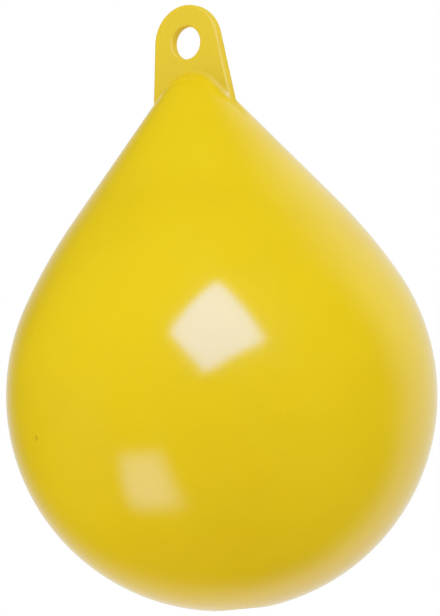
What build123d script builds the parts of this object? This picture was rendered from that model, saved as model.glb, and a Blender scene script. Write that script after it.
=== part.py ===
from build123d import *
import math
import os

# Anchor buoy: a foam-filled teardrop float with a flat rope eye at its nose and a filler plug at its round end.
# Millimetres and degrees. The origin is the centre of the rope eye, +Z runs up the float's axis from the
# round end to the eye, and the eye's hole runs along Y, so the flat of the lug lies in the XZ plane.
# The skin and the foam that fills it are one solid, because nothing shows or opens between them.

# Float: a ball, a long shoulder arc, a straight cone and a small round nose, each tangent to the next
ball_radius = 110.0
shoulder_start = 29.0           # angle above the ball's equator where the long arc takes over
shoulder_radius = 276.0
cone_half_angle = 39.3
nose_radius = 20.0
seam_turn = 45                  # turns the float's seams away from the root of the lug

# Rope eye lug, a flat tab with a round top about the eye
eye_above_nose = 17.0           # from the top of the nose to the eye's centre
eye_radius = 8.5
eye_rim_bevel = 0.8
lug_thickness = 5.4
lug_top_radius = 19.8
lug_side_angle = 8.0            # each side leans out by this, towards the float
lug_edge_radius = 1.6           # round of the tab's rims at its foot
lug_edge_bevel = (2 - math.sqrt(2)) * lug_edge_radius    # above the parting, the flat that touches that round

# Root of the lug: it flares into the nose, and the tab is parted from it just above the flare
root_fillet = 3.8
root_margin = 1.0               # from the top of the flare to the parting

# Filler port at the round end, and the plug pushed into it
port_radius = 9.0
port_depth = 14.0               # beyond the floor of the recess
recess_radius = 13.0
recess_depth = 2.2
lip_bevel = 0.5
plug_clearance = 0.15           # all round the plug's head and shank, and past its tip
plug_bevel = 0.5

near = 0.05                     # slack for picking edges by their place or size


def unit(angle):
    """Unit vector, in radius and height, that leans up from the horizontal by angle."""
    return math.cos(math.radians(angle)), math.sin(math.radians(angle))


# Centres of the outline's arcs: each lies on the line through the tangent point that its neighbour shares
cone_out, cone_up = unit(cone_half_angle)
ball_out, ball_up = unit(shoulder_start)
nose_z = -eye_above_nose - nose_radius
shoulder_r = (ball_radius - shoulder_radius) * ball_out
cone_foot_r = shoulder_r + shoulder_radius * cone_out
cone_foot_z = nose_z - (cone_foot_r * cone_out - nose_radius) / cone_up
shoulder_z = cone_foot_z - shoulder_radius * cone_up
ball_z = shoulder_z - (ball_radius - shoulder_radius) * ball_up
pole_z = ball_z - ball_radius

# The lug's sides run into the cone at meet_z, and its foot ends inside the float, a fillet's radius lower
side_out, side_up = unit(lug_side_angle)
meet_z = side_out * (nose_radius + cone_up * nose_z) - cone_out * lug_top_radius
meet_z /= side_out * cone_up - cone_out * side_up
foot_z = meet_z - root_fillet

# The plug's face is level with the rim of the recess, and its head sits on the recess's floor
face_z = ball_z - math.sqrt(ball_radius ** 2 - recess_radius ** 2)
floor_z = face_z + recess_depth


def in_section(outline):
    """The face inside an outline drawn in radius and height."""
    return make_face([Plane.XZ * edge for edge in outline])


def make_teardrop():
    """The float's plain solid of revolution."""
    outline = [
        CenterArc((0, ball_z), ball_radius, -90, 90 + shoulder_start),
        CenterArc((shoulder_r, shoulder_z), shoulder_radius, shoulder_start, cone_half_angle - shoulder_start),
        Line((cone_foot_r, cone_foot_z), (nose_radius * cone_out, nose_z + nose_radius * cone_up)),
        CenterArc((0, nose_z), nose_radius, cone_half_angle, 90 - cone_half_angle),
        Line((0, nose_z + nose_radius), (0, pole_z)),
    ]
    return Rot(0, 0, seam_turn) * revolve(in_section(outline), Axis.Z)


def arch(centre_z, radius, side_angle):
    """The face of an arch: a round top about a centre on the axis, and sides that lean out from it to foot_z."""
    out, up = unit(side_angle)
    touch_x = radius * out
    touch_z = centre_z + radius * up
    foot_x = touch_x + (touch_z - foot_z) * up / out
    outline = [
        CenterArc((0, centre_z), radius, side_angle, 180 - 2 * side_angle),
        Line((-touch_x, touch_z), (-foot_x, foot_z)),
        Line((-foot_x, foot_z), (foot_x, foot_z)),
        Line((foot_x, foot_z), (touch_x, touch_z)),
    ]
    return in_section(outline)


def make_tab(ease, size):
    """The lug's flat tab, from its round top down into the float, with the rims of its top and sides eased."""
    tab = extrude(arch(0, lug_top_radius, lug_side_angle), lug_thickness / 2, both=True)
    rims = [edge for edge in tab.edges() if abs((edge @ 0.5).Y) > near and (edge @ 0.5).Z > foot_z + near]
    return ease(rims, size)


def make_parting():
    """A block across the tab that follows the nose and cone just above the flare. The lug ends at its top."""
    return extrude(arch(nose_z, nose_radius + root_fillet + root_margin, cone_half_angle), lug_thickness, both=True)


def make_lug(tab, parting):
    """The tab above the parting, with the eye cut through it and both rims of the eye bevelled."""
    lug = tab - parting - Rot(90, 0, 0) * Cylinder(eye_radius, 2 * lug_thickness)
    rims = [edge for edge in lug.edges().filter_by(GeomType.CIRCLE) if abs(edge.radius - eye_radius) < near]
    return chamfer(rims, eye_rim_bevel)


def make_float(tab, parting):
    """The teardrop with its port, and the foot of the tab up to the parting, flared into the nose."""
    teardrop = make_teardrop() - make_port()
    foot = tab & parting
    return fillet(new_edges(teardrop, foot, combined=teardrop + foot), root_fillet)


def make_port():
    """The cut for the plug: a recess for its head with a bevelled lip, and a narrower blind hole beyond."""
    lip_radius = recess_radius + 2 * lip_bevel
    recess = Pos(0, 0, pole_z) * Cylinder(recess_radius, 2 * (floor_z - pole_z))
    lip = Pos(0, 0, face_z) * Cone(lip_radius, recess_radius, 2 * lip_bevel)
    hole = Pos(0, 0, floor_z) * Cylinder(port_radius, 2 * port_depth)
    return recess + lip + hole


def make_plug():
    """The plug, seated on the floor of the recess, its head level with the recess's rim and bevelled."""
    seat = Align.CENTER, Align.CENTER, Align.MAX
    head = Pos(0, 0, floor_z) * Cylinder(recess_radius - plug_clearance, recess_depth, align=seat)
    head = chamfer(head.edges().filter_by(GeomType.CIRCLE).sort_by(Axis.Z)[0], plug_bevel)
    tip_z = floor_z + port_depth - plug_clearance
    return head + Pos(0, 0, tip_z) * Cylinder(port_radius - plug_clearance, tip_z - floor_z, align=seat)


parting = make_parting()
nodes = {
    "float_body": make_float(make_tab(fillet, lug_edge_radius), parting),
    "eye_lug": make_lug(make_tab(chamfer, lug_edge_bevel), parting),
    "filler_plug": make_plug(),
}
os.makedirs("parts", exist_ok=True)
for name, node in nodes.items():
    solid = node.solid()
    solid.label = name
    export_step(solid, f"parts/{name}.step")
    print(name, "volume", round(solid.volume), "valid", solid.is_valid)
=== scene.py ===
import functools
import math

import bmesh
import bpy
from mathutils import Euler, Matrix, Vector


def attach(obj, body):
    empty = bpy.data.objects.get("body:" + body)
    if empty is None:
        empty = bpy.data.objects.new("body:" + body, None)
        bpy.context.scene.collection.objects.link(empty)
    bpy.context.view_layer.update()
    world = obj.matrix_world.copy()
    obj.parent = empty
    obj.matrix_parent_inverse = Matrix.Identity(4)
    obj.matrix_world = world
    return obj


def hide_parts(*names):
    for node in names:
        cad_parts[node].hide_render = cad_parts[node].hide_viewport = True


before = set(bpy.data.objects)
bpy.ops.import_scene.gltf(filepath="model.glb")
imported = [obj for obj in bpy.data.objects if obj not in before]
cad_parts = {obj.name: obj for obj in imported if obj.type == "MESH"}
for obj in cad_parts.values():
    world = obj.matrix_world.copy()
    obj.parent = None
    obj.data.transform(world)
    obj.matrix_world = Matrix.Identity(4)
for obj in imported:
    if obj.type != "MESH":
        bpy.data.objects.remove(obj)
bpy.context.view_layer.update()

# The buoy's driving sizes, the same as the model's
mm = 0.001
ball_radius = 110 * mm
shoulder_start = 29.0           # degrees above the ball's equator
shoulder_radius = 276 * mm
cone_half_angle = 39.3          # degrees
nose_radius = 20 * mm
eye_above_nose = 17 * mm
eye_radius = 8.5 * mm
eye_rim_radius = 1.3 * mm
lug_thickness = 5.4 * mm
lug_top_radius = 19.8 * mm
lug_side_angle = 8.0            # degrees
lug_edge_radius = 1.6 * mm
root_fillet = 3.8 * mm
port_radius = 9 * mm
port_depth = 14 * mm
recess_radius = 13 * mm
recess_depth = 2.2 * mm
lip_radius = 0.8 * mm

# How finely the moulding is divided
columns = 256                   # round the float, and round the root of the lug
ball_rings = 80
shoulder_rings = 18
cone_rings = 14
nose_rings = 24
fillet_rings = 8
edge_steps = 6                  # in a quarter round of the lug's edge
flat_steps = 2                  # from the middle of the lug's edge to where its round starts
side_rings = 10
top_rings = 64
eye_columns = 96
lip_steps = 6
flat_margin = 0.15 * mm         # the narrow band that keeps the lug's flat faces flat to the eye
smooth_below = 35.0             # degrees between faces
tolerance = 0.01 * mm           # for welding points, and for picking them by their place
halvings = 50                   # until the place of a rolling ball is known


def unit(angle):
    """Unit vector, in radius and height, that leans up from the horizontal by an angle in degrees."""
    return math.cos(math.radians(angle)), math.sin(math.radians(angle))


# Centres of the float's arcs, from the nose down
cone_out, cone_up = unit(cone_half_angle)
ball_out, ball_up = unit(shoulder_start)
side_out, side_up = unit(lug_side_angle)
nose_z = -eye_above_nose - nose_radius
shoulder_r = (ball_radius - shoulder_radius) * ball_out
cone_foot_r = shoulder_r + shoulder_radius * cone_out
cone_foot_z = nose_z - (cone_foot_r * cone_out - nose_radius) / cone_up
shoulder_z = cone_foot_z - shoulder_radius * cone_up
ball_z = shoulder_z - (ball_radius - shoulder_radius) * ball_up
pole_z = ball_z - ball_radius
floor_z = ball_z - math.sqrt(ball_radius ** 2 - recess_radius ** 2) + recess_depth
meet_z = side_out * (nose_radius + cone_up * nose_z) - cone_out * lug_top_radius
meet_z /= side_out * cone_up - cone_out * side_up       # where the lug's sides run into the cone
ring_z = meet_z - 3 * root_fillet                       # where the float's rings stop being round
ring_r = (nose_radius - cone_up * (ring_z - nose_z)) / cone_out
edge_r = lug_top_radius - lug_edge_radius
edge_y = lug_thickness / 2 - lug_edge_radius
edge_columns = edge_steps + flat_steps  # from the middle of the lug's edge to its flat face
flat_columns = columns // 2 - 2 * edge_columns


def arc(centre_r, centre_z, radius, start, end, steps):
    """Points along an arc of the outline after its first, from one angle to another in degrees."""
    points = []
    for step in range(1, steps + 1):
        out, up = unit(start + (end - start) * step / steps)
        points.append((centre_r + radius * out, centre_z + radius * up))
    return points


def float_outline():
    """Radius and height along the float, from the blind end of its port to the ring round its nose."""
    lip_r = recess_radius + lip_radius
    lip_z = ball_z - math.sqrt((ball_radius - lip_radius) ** 2 - lip_r ** 2)
    lip_angle = math.degrees(math.atan2(lip_z - ball_z, lip_r))
    points = [(0, floor_z + port_depth), (port_radius, floor_z + port_depth), (port_radius, floor_z)]
    points += [(recess_radius, floor_z), (recess_radius, lip_z)]
    points += arc(lip_r, lip_z, lip_radius, -180, lip_angle, lip_steps)
    points += arc(0, ball_z, ball_radius, lip_angle, shoulder_start, ball_rings)
    points += arc(shoulder_r, shoulder_z, shoulder_radius, shoulder_start, cone_half_angle, shoulder_rings)
    for ring in range(1, cone_rings + 1):
        share = ring / cone_rings
        radius = cone_foot_r + (ring_r - cone_foot_r) * share
        height = cone_foot_z + (ring_z - cone_foot_z) * share
        points.append((radius, height))
    return points


def nose_height(radius):
    """Height of the float's nose or cone at a distance from its axis."""
    if radius < nose_radius * cone_out:
        return nose_z + math.sqrt(nose_radius ** 2 - radius ** 2)
    return nose_z + (nose_radius - cone_out * radius) / cone_up


def nose_gap(point):
    """Distance of a point from the float's nose or cone, and the direction away from it."""
    radius = math.hypot(point.x, point.y)
    rise = point.z - nose_z
    if math.atan2(rise, radius) > math.radians(cone_half_angle):
        away = Vector((point.x, point.y, rise))
        return away.length - nose_radius, away.normalized()
    away = Vector((cone_out * point.x / radius, cone_out * point.y / radius, cone_up))
    return cone_out * radius + cone_up * rise - nose_radius, away


def edge_section(step):
    """Place and direction across the lug's edge, outwards and along Y, at a step from its middle."""
    if abs(step) <= flat_steps:
        return (lug_edge_radius, edge_y * step / flat_steps), (1, 0)
    out, up = unit(90 * (abs(step) - flat_steps) / edge_steps)
    sign = math.copysign(1, step)
    return (lug_edge_radius * out, sign * (edge_y + lug_edge_radius * up)), (out, sign * up)


def tab_line(column):
    """Where a column's line meets the lug's face at the eye's height, its way down, and the face's normal."""
    right = column < columns // 4 or column > 3 * columns // 4
    sign = 1 if right else -1
    step = (column + columns // 4) % (columns // 2) - columns // 4
    half_width = edge_r / side_out
    slope = side_up / side_out
    if abs(step) <= edge_columns:
        (out, across), (normal_out, normal_y) = edge_section(sign * step)
        start = Vector((sign * (half_width + out * side_out), across, out * side_up))
        normal = Vector((sign * normal_out * side_out, normal_y, normal_out * side_up))
        return start, Vector((sign * slope, 0, -1)), normal
    face = 1 if column < columns // 2 else -1
    from_right = column if face > 0 else columns - column
    share = 1 - 2 * (from_right - edge_columns) / flat_columns
    start = Vector((share * half_width, face * lug_thickness / 2, 0))
    return start, Vector((share * slope, 0, -1)), Vector((0, face, 0))


@functools.cache
def rolling_ball(column):
    """Centre of the fillet's ball, which rests on lug and float, with the directions away from both."""
    start, down, off_tab = tab_line(column)
    near, far = 0, 2 * ring_r
    for _ in range(halvings):
        middle = (near + far) / 2
        centre = start + root_fillet * off_tab + middle * down
        gap, off_nose = nose_gap(centre)
        if gap > root_fillet:
            near = middle
        else:
            far = middle
    return centre, off_tab, off_nose


def fillet_point(column, share):
    """A point on the root's fillet, from the float at share 0 to the lug at share 1."""
    centre, off_tab, off_nose = rolling_ball(column)
    return centre - root_fillet * off_nose.lerp(off_tab, share).normalized()


def nose_point(column, share):
    """A point on the float, from the ring round the nose at share 0 to the root's fillet at share 1."""
    out, across = unit(360 * column / columns)
    place = Vector((ring_r * out, ring_r * across, 0)).lerp(fillet_point(column, 0), share)
    place.z = nose_height(math.hypot(place.x, place.y))
    return place


def edge_point(step, angle):
    """A point on the lug's edge where the top's arc is at an angle in degrees."""
    (out, across), _ = edge_section(step)
    along, up = unit(angle)
    return Vector(((edge_r + out) * along, across, (edge_r + out) * up))


def edit_mesh():
    """The mesh of the piece in hand, while it is in edit mode."""
    return bmesh.from_edit_mesh(bpy.context.object.data)


def select_points(chosen):
    """Selects the vertices of the mesh in hand that chosen picks, and the edges between them."""
    bpy.ops.mesh.select_all(action="DESELECT")
    mesh = edit_mesh()
    for point in mesh.verts:
        point.select = chosen(point)
    mesh.select_flush(True)
    bmesh.update_edit_mesh(bpy.context.object.data)


def extrude_to(place):
    """Extrudes the selected rim, and puts each new vertex where place says for its column and old place."""
    bpy.ops.mesh.extrude_region_move()
    mesh = edit_mesh()
    layer = mesh.verts.layers.int["column"]
    for point in mesh.verts:
        if point.select:
            point.co = place(point[layer], point.co)
    bmesh.update_edit_mesh(bpy.context.object.data)


def spin_float():
    """The float below its nose: one point drawn out along the outline, and spun round the axis."""
    outline = [Vector((radius, 0, height)) for radius, height in float_outline()]
    bpy.ops.object.select_all(action="DESELECT")
    bpy.ops.mesh.primitive_plane_add(size=mm)
    piece = bpy.context.object
    bpy.ops.object.mode_set(mode="EDIT")
    bpy.ops.mesh.select_all(action="SELECT")
    bpy.ops.mesh.merge(type="CENTER")
    bpy.ops.transform.translate(value=outline[0])
    for last, point in zip(outline, outline[1:]):
        bpy.ops.mesh.extrude_region_move(TRANSFORM_OT_translate={"value": point - last})
    bpy.ops.mesh.select_all(action="SELECT")
    bpy.ops.mesh.spin(steps=columns, angle=math.tau, center=(0, 0, 0), axis=(0, 0, 1))
    bpy.ops.mesh.select_all(action="SELECT")
    bpy.ops.mesh.remove_doubles(threshold=tolerance)
    return piece


def raise_nose():
    """Draws the float's open rim in over the nose, up the root's fillet and on to the foot of the lug."""
    mesh = edit_mesh()
    layer = mesh.verts.layers.int.new("column")
    for point in mesh.verts:
        point[layer] = round(math.atan2(point.co.y, point.co.x) / math.tau * columns) % columns
    bmesh.update_edit_mesh(bpy.context.object.data)
    select_points(lambda point: point.co.z > ring_z - tolerance)
    for ring in range(1, nose_rings + 1):
        extrude_to(lambda column, place: nose_point(column, ring / nose_rings))
    for ring in range(1, fillet_rings + 1):
        extrude_to(lambda column, place: fillet_point(column, ring / fillet_rings))


def edge_step(column):
    """Step of a column from the middle of the lug's right-hand edge."""
    return column if column < columns // 2 else column - columns


def sweep_edge():
    """Draws the lug's edge up from the right-hand end of its foot, over the top and down to the left."""
    layer = edit_mesh().verts.layers.int["column"]
    select_points(lambda point: point.is_boundary and abs(edge_step(point[layer])) <= edge_columns)
    for ring in range(1, side_rings + 1):
        extrude_to(lambda column, place: fillet_point(column, 1).lerp(
            edge_point(edge_step(column), lug_side_angle), ring / side_rings))
    for ring in range(1, top_rings + 1):
        angle = lug_side_angle + (180 - 2 * lug_side_angle) * ring / top_rings
        extrude_to(lambda column, place: edge_point(edge_step(column), angle))
    mirror = Vector((-1, 1, 1))
    for ring in range(1, side_rings + 1):
        extrude_to(lambda column, place: edge_point(edge_step(column), 180 - lug_side_angle).lerp(
            fillet_point(column, 1) * mirror, ring / side_rings))
    bpy.ops.mesh.select_all(action="SELECT")
    bpy.ops.mesh.remove_doubles(threshold=tolerance)


def quarter(steps):
    """Unit vectors through a quarter turn."""
    return [unit(90 * step / steps) for step in range(steps + 1)]


def beside_eye(place, radius, across):
    """A point moved to a new distance from the eye's axis, and to a new place across the lug."""
    return Vector((place.x, 0, place.z)).normalized() * radius + Vector((0, across, 0))


def bore_eye():
    """The eye's wall, its rims rounded, drawn from a circle on one face of the lug to the other."""
    land = lug_thickness / 2 - eye_rim_radius
    rim_r = eye_radius + eye_rim_radius
    section = [(rim_r - eye_rim_radius * up, land + eye_rim_radius * out) for out, up in quarter(edge_steps)]
    section += [(radius, -across) for radius, across in reversed(section)]
    bpy.ops.mesh.select_all(action="DESELECT")
    bpy.ops.mesh.primitive_circle_add(vertices=eye_columns, radius=rim_r, location=(0, lug_thickness / 2, 0),
                                      rotation=(math.pi / 2, 0, 0))
    for radius, across in section[1:]:
        extrude_to(lambda column, place: beside_eye(place, radius, across))


def close_faces():
    """Fills the two flat faces of the lug between its edge, its foot and the eye."""
    for face in (1, -1):
        side = face * lug_thickness / 2
        select_points(lambda point: point.is_boundary and abs(point.co.y - side) < tolerance)
        bpy.ops.mesh.fill(use_beauty=True)
        bpy.ops.mesh.inset(thickness=flat_margin)


def finish_piece(piece, name):
    """Recalculates normals, shades the rounds smooth and names the piece."""
    bpy.ops.mesh.select_all(action="SELECT")
    bpy.ops.mesh.normals_make_consistent(inside=False)
    bpy.ops.object.mode_set(mode="OBJECT")
    bpy.ops.object.shade_smooth_by_angle(angle=math.radians(smooth_below))
    piece.name = piece.data.name = name


def make_moulding():
    """Float and lug in one moulding, as the real buoy is, with no seam between them."""
    piece = spin_float()
    raise_nose()
    sweep_edge()
    bore_eye()
    close_faces()
    finish_piece(piece, "buoy_moulding")
    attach(piece, "root")
    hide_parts("float_body", "eye_lug")
    return piece


# Materials

yellow = "#EDD014"
deep_yellow = "#E8C90E"         # in the cloudier patches of the pigment
scuff_brown = "#5A4A10"
scuff_place = Vector((-46, -98.5, -199.9)) * mm
scuff_radius = 1.5 * mm
scuff_end = 2.85 * mm           # where its ragged edge has faded out
scuff_grain = 1.2 * mm
scuff_strength = 0.25
cloud_size = 60 * mm
cloud_low, cloud_high = 0.35, 0.65      # levels of the cloud's noise, from the one yellow to the other
powder_size = 1.5 * mm          # drawn about three times as coarse as the powder, so that it shows
powder_low, powder_high = 0.3, 0.7
powder_share = 0.3
handling_size = 22 * mm
handling_low, handling_high = 0.4, 0.75
wave_size, wave_depth = 45 * mm, 0.25 * mm
peel_size, peel_depth = 2.5 * mm, 0.008 * mm
polyethylene_ior = 1.51
polished, blasted, trimmed = 0.13, 0.40, 0.62       # roughness of the float, the lug and the lug's rim
handling_wear = 0.05            # what handling adds to the roughness
rim_start, rim_full = 0.05 * mm, 0.30 * mm          # below the lug's faces, where its rim turns rougher


def linear(colour):
    """An sRGB hex colour as linear red, green, blue and alpha."""
    levels = [int(colour[i:i + 2], 16) / 255 for i in (1, 3, 5)]
    return [c / 12.92 if c <= 0.04045 else ((c + 0.055) / 1.055) ** 2.4 for c in levels] + [1]


def add_node(tree, kind, inputs=None, **settings):
    """Adds a shader node, sets its properties, and sets or links its input sockets."""
    made = tree.nodes.new("ShaderNode" + kind)
    for name, value in settings.items():
        setattr(made, name, value)
    for socket, value in (inputs or {}).items():
        if isinstance(value, bpy.types.NodeSocket):
            tree.links.new(value, made.inputs[socket])
        else:
            made.inputs[socket].default_value = value
    return made


def pigment(tree, place):
    """The yellow, faintly cloudy and speckled by the powder that it was moulded from."""
    cloud = add_node(tree, "TexNoise", {"Vector": place, "Scale": 1 / cloud_size, "Detail": 2.0})
    cloud = add_node(tree, "MapRange", {
        "Value": cloud.outputs["Fac"], "From Min": cloud_low, "From Max": cloud_high})
    powder = add_node(tree, "TexNoise", {"Vector": place, "Scale": 1 / powder_size, "Detail": 3.0})
    powder = add_node(tree, "MapRange", {
        "Value": powder.outputs["Fac"], "From Min": powder_low, "From Max": powder_high})
    tone = add_node(tree, "Mix", {"Factor": powder_share, "A": cloud.outputs[0], "B": powder.outputs[0]})
    mixed = add_node(tree, "Mix", {0: tone.outputs[0], 6: linear(yellow), 7: linear(deep_yellow)},
                     data_type="RGBA")
    return mixed.outputs[2]


def scuffed(tree, place, colour):
    """The colour with a small dark scuff on it, low on the side, whose edge is ragged."""
    distance = add_node(tree, "VectorMath", {0: place, 1: scuff_place}, operation="DISTANCE")
    ragged = add_node(tree, "TexNoise", {"Vector": place, "Scale": 1 / scuff_grain, "Detail": 2.0})
    reach = add_node(tree, "Math", {
        0: ragged.outputs["Fac"], 1: scuff_radius, 2: distance.outputs["Value"]}, operation="MULTIPLY_ADD")
    mark = add_node(tree, "MapRange", {
        "Value": reach.outputs[0], "From Min": scuff_radius, "From Max": scuff_end,
        "To Min": scuff_strength, "To Max": 0.0})
    mixed = add_node(tree, "Mix", {0: mark.outputs[0], 6: colour, 7: linear(scuff_brown)}, data_type="RGBA")
    return mixed.outputs[2]


def gloss(tree, place):
    """Roughness: low where the mould is polished, higher round the lug, and highest on its trimmed rim."""
    lug_face = lug_thickness / 2
    along = add_node(tree, "SeparateXYZ", {"Vector": place}).outputs
    off_plane = add_node(tree, "Math", {0: along["Y"]}, operation="ABSOLUTE").outputs[0]
    beside = add_node(tree, "MapRange", {
        "Value": off_plane, "From Min": lug_face, "From Max": lug_face + root_fillet,
        "To Min": 1.0, "To Max": 0.0}, interpolation_type="SMOOTHSTEP")
    above = add_node(tree, "MapRange", {"Value": along["Z"], "From Min": ring_z, "From Max": meet_z},
                     interpolation_type="SMOOTHSTEP")
    round_lug = add_node(tree, "Math", {0: beside.outputs[0], 1: above.outputs[0]}, operation="MULTIPLY")
    on_lug = add_node(tree, "MapRange", {
        "Value": off_plane, "From Min": lug_face - rim_full, "From Max": lug_face - rim_start,
        "To Min": trimmed, "To Max": blasted}, interpolation_type="SMOOTHSTEP")
    moulded = add_node(tree, "MapRange", {
        "Value": round_lug.outputs[0], "To Min": polished, "To Max": on_lug.outputs[0]})
    handling = add_node(tree, "TexNoise", {"Vector": place, "Scale": 1 / handling_size, "Detail": 4.0})
    wear = add_node(tree, "MapRange", {
        "Value": handling.outputs["Fac"], "From Min": handling_low, "From Max": handling_high,
        "To Max": handling_wear})
    return add_node(tree, "Math", {0: moulded.outputs[0], 1: wear.outputs[0]}, operation="ADD").outputs[0]


def relief(tree, place):
    """Bumps: the slow waves of a wall that cooled off its mould, and a faint orange peel over them."""
    wave = add_node(tree, "TexNoise", {"Vector": place, "Scale": 1 / wave_size, "Detail": 1.0})
    waved = add_node(tree, "Bump", {"Height": wave.outputs["Fac"], "Strength": 1.0, "Distance": wave_depth})
    peel = add_node(tree, "TexNoise", {"Vector": place, "Scale": 1 / peel_size, "Detail": 2.0})
    peeled = add_node(tree, "Bump", {
        "Height": peel.outputs["Fac"], "Strength": 1.0, "Distance": peel_depth,
        "Normal": waved.outputs["Normal"]})
    return peeled.outputs["Normal"]


def moulded_polyethylene():
    """Yellow polyethylene, rotomoulded: a clean gloss that mirrors the softboxes a little wavily.

    The mould is polished round the float and blasted round the lug, so the gloss softens there, most of all
    on the lug's rim, where the flash was trimmed.
    """
    material = bpy.data.materials.new("rotomoulded_yellow_polyethylene")
    material.use_nodes = True
    tree = material.node_tree
    tree.nodes.clear()
    place = add_node(tree, "TexCoord").outputs["Object"]
    shader = add_node(tree, "BsdfPrincipled", {
        "Base Color": scuffed(tree, place, pigment(tree, place)), "Roughness": gloss(tree, place),
        "IOR": polyethylene_ior, "Normal": relief(tree, place)})
    add_node(tree, "OutputMaterial", {"Surface": shader.outputs["BSDF"]})
    return material


def finish_with(piece, material):
    """Gives a piece its one material."""
    piece.data.materials.clear()
    piece.data.materials.append(material)


# Studio

lamp_aim = Vector((0, 0, ball_z))
room_light = 0.79               # what falls on every surface from all round
mirrored_room = 0.04            # what gloss shows of the room in front
mirrored_backdrop = 0.85        # what gloss shows of the pale backdrop behind
backdrop_edges = (              # azimuth, elevation, and the cosines to them where an edge is dark and bright
    (174.5, -6, 0.08, 0.79),
    (218, 23, -0.07, 0.43),
)
white = "#FFFFFF"
warm = (1.02, 0.91, 0.93, 1)    # the light from below, off the table
warm_from, warm_full = -0.1, -0.9       # heights of a direction between which the light turns warm
paper_grey = "#E7E7E7"
floor_radius = 3.0
floor_sides = 128
floor_near, floor_far = 0.5, 2.6        # distances from the buoy between which the floor brightens
glow_near, glow_far = 0.12, 0.40        # its own light there, which makes it white at its edge


def heading(azimuth, elevation):
    """Unit vector towards an azimuth, counted from the front to the right, and an elevation, in degrees."""
    level, rise = unit(elevation)
    across, ahead = unit(azimuth - 90)
    return Vector((across * level, ahead * level, rise))


def fade_to_edges(lamp, fade):
    """Lets a lamp's light fall off towards its edges, over a share of its width.

    Ping-pong over a half of the lamp gives how far a place is from the nearer side or end.
    """
    lamp.use_nodes = True
    tree = lamp.node_tree
    tree.nodes.clear()
    place = add_node(tree, "TexCoord").outputs["UV"]
    across = add_node(tree, "SeparateXYZ", {"Vector": place})
    from_side = add_node(tree, "Math", {0: across.outputs["X"], 1: 0.5}, operation="PINGPONG")
    from_end = add_node(tree, "Math", {0: across.outputs["Y"], 1: 0.5}, operation="PINGPONG")
    nearest = add_node(tree, "Math", {0: from_side.outputs[0], 1: from_end.outputs[0], 2: fade},
                       operation="SMOOTH_MIN")
    level = add_node(tree, "MapRange", {"Value": nearest.outputs[0], "From Max": fade},
                     interpolation_type="SMOOTHSTEP")
    glow = add_node(tree, "Emission", {"Strength": level.outputs[0]})
    add_node(tree, "OutputLight", {"Surface": glow.outputs[0]})


def place_lamp(name, azimuth, elevation, distance, size, radiance, turned=(0, 0, 0), fade=0.0,
               colour=(1, 1, 1)):
    """A rectangular lamp aimed at the float's ball, and turned from there about its own axes."""
    lamp = bpy.data.lights.new(name, "AREA")
    lamp.shape = "RECTANGLE"
    lamp.size, lamp.size_y = size
    lamp.energy = radiance * math.pi * size[0] * size[1]
    lamp.color = colour
    if fade:
        fade_to_edges(lamp, fade)
    lamp_object = bpy.data.objects.new(name, lamp)
    bpy.context.scene.collection.objects.link(lamp_object)
    toward = heading(azimuth, elevation)
    facing = toward.to_track_quat("Z", "Y").to_matrix().to_4x4()
    lean = Euler([math.radians(angle) for angle in turned]).to_matrix().to_4x4()
    lamp_object.matrix_world = Matrix.Translation(lamp_aim + toward * distance) @ facing @ lean
    lamp_object.visible_camera = False
    return lamp_object


def place_lamps():
    """Two broad lamps light the buoy. Two cool softboxes show only in its gloss, cream on the yellow."""
    broad = place_lamp("broad_lamp", azimuth=50, elevation=38, distance=1.8, size=(1.5, 1.5), radiance=1.32)
    side = place_lamp("side_lamp", azimuth=-52, elevation=-12, distance=1.8, size=(1.5, 1.5), radiance=0.95)
    key = place_lamp("key_softbox", azimuth=29.6, elevation=27.7, distance=1.0, size=(0.65, 0.76),
                     radiance=13.3, turned=(-31, 4, -56), fade=0.09, colour=(0.13, 0.33, 1.0))
    low = place_lamp("low_softbox", azimuth=-19.3, elevation=-37.7, distance=1.0, size=(0.62, 0.70),
                     radiance=3.9, turned=(18, 12, -14), fade=0.3, colour=(0.30, 0.46, 1.0))
    broad.visible_glossy = side.visible_glossy = False
    key.visible_diffuse = low.visible_diffuse = False


def backdrop(tree, way):
    """How much of the pale backdrop lies in a direction, from 0 in the room to 1. Its edges are soft."""
    edges = []
    for azimuth, elevation, dark, bright in backdrop_edges:
        facing = heading(azimuth, elevation)
        along = add_node(tree, "VectorMath", {0: way, 1: facing}, operation="DOT_PRODUCT").outputs["Value"]
        edge = add_node(tree, "MapRange", {"Value": along, "From Min": dark, "From Max": bright},
                        interpolation_type="SMOOTHSTEP")
        edges.append(edge.outputs[0])
    return add_node(tree, "Math", {0: edges[0], 1: edges[1]}, operation="MULTIPLY").outputs[0]


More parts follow.
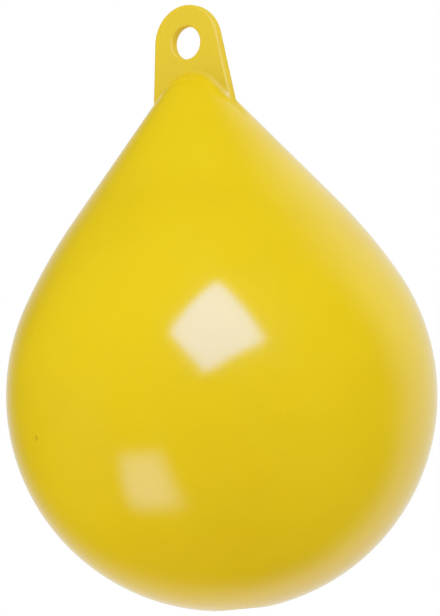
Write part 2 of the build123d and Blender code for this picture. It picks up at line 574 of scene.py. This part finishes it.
def light_world():
    """White to the camera, and even light on the surfaces, a little warm from below.

    Gloss mirrors a pale backdrop behind the buoy, and a dim room in front of it.
    """
    world = bpy.data.worlds.new("studio_white")
    bpy.context.scene.world = world
    world.use_nodes = True
    tree = world.node_tree
    tree.nodes.clear()
    rays = add_node(tree, "LightPath").outputs
    way = add_node(tree, "TexCoord").outputs["Generated"]
    mirrored = add_node(tree, "MapRange", {
        "Value": backdrop(tree, way), "To Min": mirrored_room, "To Max": mirrored_backdrop})
    in_gloss = add_node(tree, "Math", {0: rays["Is Glossy Ray"], 1: rays["Is Transmission Ray"]},
                        operation="MAXIMUM")
    level = add_node(tree, "Mix", {"Factor": in_gloss.outputs[0], "A": room_light, "B": mirrored.outputs[0]})
    shown = add_node(tree, "Math", {0: level.outputs[0], 1: rays["Is Camera Ray"]}, operation="MAXIMUM")

    height = add_node(tree, "SeparateXYZ", {"Vector": way}).outputs["Z"]
    below = add_node(tree, "MapRange", {"Value": height, "From Min": warm_from, "From Max": warm_full})
    warmth = add_node(tree, "Math", {0: below.outputs[0], 1: rays["Is Camera Ray"]}, operation="SUBTRACT",
                      use_clamp=True)
    tint = add_node(tree, "Mix", {0: warmth.outputs[0], 6: linear(white), 7: warm}, data_type="RGBA")
    light = add_node(tree, "Background", {"Color": tint.outputs[2], "Strength": shown.outputs[0]})
    add_node(tree, "OutputWorld", {"Surface": light.outputs["Background"]})


def pale_paper():
    """Pale paper, matt, lit a little from within so that it reaches the background's white at its edge.

    Only what looks down on it sees it: other rays, and a view from below, pass through.
    """
    material = bpy.data.materials.new("pale_studio_paper")
    material.use_nodes = True
    tree = material.node_tree
    tree.nodes.clear()
    rays = add_node(tree, "LightPath").outputs
    place = add_node(tree, "TexCoord").outputs["Object"]
    paper = add_node(tree, "BsdfDiffuse", {"Color": linear(paper_grey)})
    away = add_node(tree, "VectorMath", {0: place}, operation="LENGTH")
    lift = add_node(tree, "MapRange", {
        "Value": away.outputs["Value"], "From Min": floor_near, "From Max": floor_far,
        "To Min": glow_near, "To Max": glow_far})
    glow = add_node(tree, "Emission", {"Color": linear(white), "Strength": lift.outputs[0]})
    lit = add_node(tree, "AddShader", {0: paper.outputs[0], 1: glow.outputs[0]})
    beyond = add_node(tree, "BsdfTransparent")
    under = add_node(tree, "NewGeometry").outputs["Backfacing"]
    seen = add_node(tree, "Math", {0: rays["Is Camera Ray"], 1: under}, operation="SUBTRACT", use_clamp=True)
    surface = add_node(tree, "MixShader", {0: seen.outputs[0], 1: beyond.outputs[0], 2: lit.outputs[0]})
    add_node(tree, "OutputMaterial", {"Surface": surface.outputs[0]})
    return material


def lay_floor():
    """A round floor at the foot of the float, with the float's shadow on it."""
    bpy.ops.object.select_all(action="DESELECT")
    bpy.ops.mesh.primitive_circle_add(vertices=floor_sides, radius=floor_radius, fill_type="NGON",
                                      location=(0, 0, pole_z))
    floor = bpy.context.object
    floor.name = "studio_floor"
    bpy.ops.object.transform_apply(location=True)
    finish_with(floor, pale_paper())


# Camera, which stands at the floor's level to the right of the lug's flat and looks a little up

camera_distance = 1.5
camera_azimuth = 33.353
camera_pitch = 5.886            # degrees above level
camera_yaw = 0.127              # degrees to the right of the buoy's axis
camera_roll = -5.42             # the buoy leans in the photograph
lens_length = 171.9             # millimetres, for a frame whose longer side is frame_side
frame_side = 36


def set_camera():
    """The photograph's view."""
    camera = bpy.data.cameras.new("photo_view")
    camera.sensor_width = frame_side
    camera.lens = lens_length
    camera_object = bpy.data.objects.new("photo_view", camera)
    bpy.context.scene.collection.objects.link(camera_object)
    bpy.context.scene.camera = camera_object
    stand = Matrix.Translation(heading(camera_azimuth, 0) * camera_distance + Vector((0, 0, pole_z)))
    turn = Matrix.Rotation(math.radians(camera_azimuth - camera_yaw), 4, "Z")
    tilt = Matrix.Rotation(math.radians(90 + camera_pitch), 4, "X")
    lean = Matrix.Rotation(math.radians(camera_roll), 4, "Z")
    camera_object.matrix_world = stand @ turn @ tilt @ lean


moulding = make_moulding()
plastic = moulded_polyethylene()
finish_with(moulding, plastic)
finish_with(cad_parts["filler_plug"], plastic)

light_world()
lay_floor()
place_lamps()
set_camera()
bpy.context.scene.view_settings.view_transform = "Standard"
